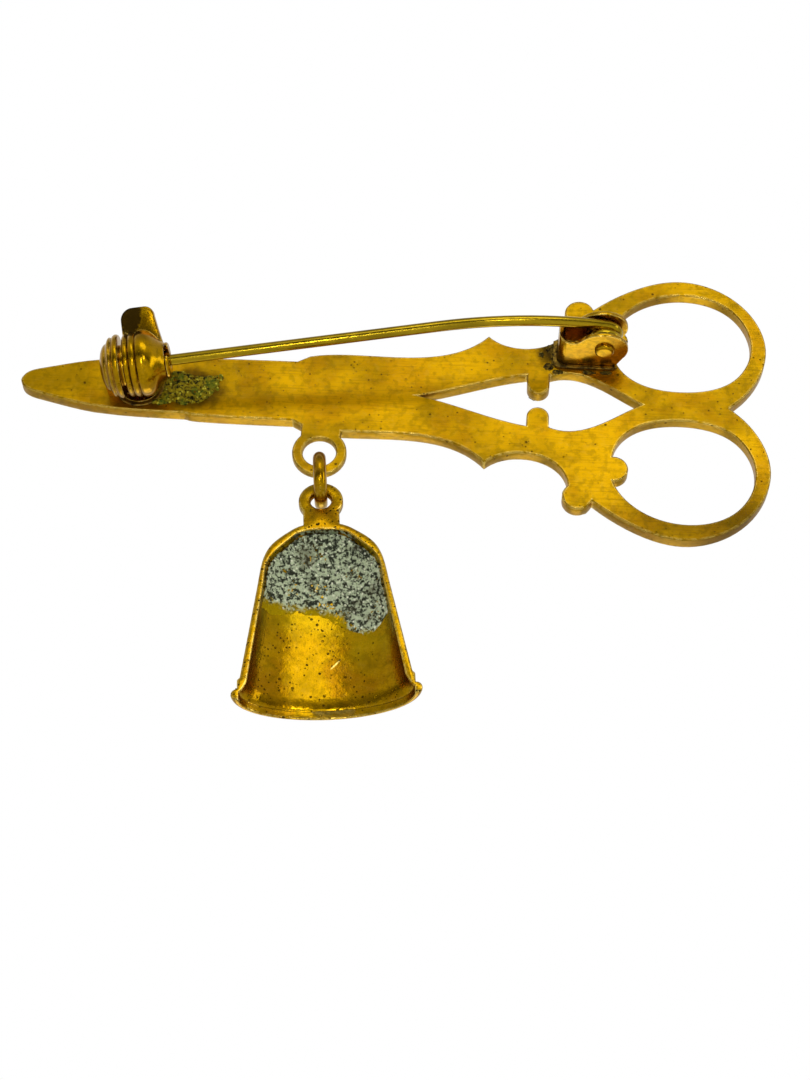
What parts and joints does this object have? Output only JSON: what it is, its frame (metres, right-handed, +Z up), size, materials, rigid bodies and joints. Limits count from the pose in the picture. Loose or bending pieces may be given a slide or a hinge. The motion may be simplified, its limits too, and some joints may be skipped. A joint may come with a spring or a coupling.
{
  "type": "scissors brooch with thimble charm",
  "caption": "Gilt scissors-shaped brooch with a hinged pin, a turning safety catch and a hanging half-thimble charm.",
  "frame": {"origin": "on the pin wire's axis, at the middle of its straight run, where the cloth hangs it", "axes": "+X along the scissors towards the finger bows, -Y out of the flat back where the pin is, +Z up as worn, with the charm hanging along -Z"},
  "size_m": [0.0624, 0.0087, 0.0432],
  "materials": {
    "cast_gilt": "satin gilt, faintly brushed back",
    "sheet_gilt": "bright gilt sheet, a little tarnished",
    "rivet_gilt": "bright, hammered head",
    "solder": "dull tarnished solder",
    "pin_wire": "polished drawn wire",
    "ball_gilt": "polished, turned ridges with tarnish in the grooves",
    "hub_brass": "dull brass tube",
    "ring_wire": "polished drawn wire",
    "charm_gilt": "satin gilt, pitted and tarnished inside"
  },
  "bodies": {
    "brooch": {"scissors_plate": "cast_gilt", "joint_box": "sheet_gilt", "joint_rivet": "rivet_gilt", "joint_solder": "solder", "catch_foot": "sheet_gilt", "catch_solder": "solder", "catch_shell": "ball_gilt", "catch_hub": "hub_brass"},
    "pin": {"pin_stem": "pin_wire"},
    "catch_lock": {"catch_rotor": "ball_gilt"},
    "ring": {"jump_ring": "ring_wire"},
    "thimble": {"thimble_shell": "charm_gilt"}
  },
  "joints": [
    {"name": "pin_hinge", "type": "hinge", "parent": "brooch", "child": "pin", "pos_m": [0.02472, 0.00188, 0.00318], "axis": [0, 0, 1], "range_deg": [0, 100]},
    {"name": "catch_turn", "type": "hinge", "parent": "brooch", "child": "catch_lock", "pos_m": [-0.01383, 0.00113, -0.00203], "axis": [0.9862, -0.0806, 0.1447], "range_deg": [0, 105]},
    {"name": "ring_swing", "type": "hinge", "parent": "brooch", "child": "ring", "pos_m": [0.00157, 0.00463, -0.00775], "axis": [0, 1, 0], "range_deg": [-30, 30]},
    {"name": "thimble_swing", "type": "hinge", "parent": "ring", "child": "thimble", "pos_m": [0.00183, 0.00463, -0.01039], "axis": [0.9952, 0, 0.0976], "range_deg": [-25, 25]}
  ]
}
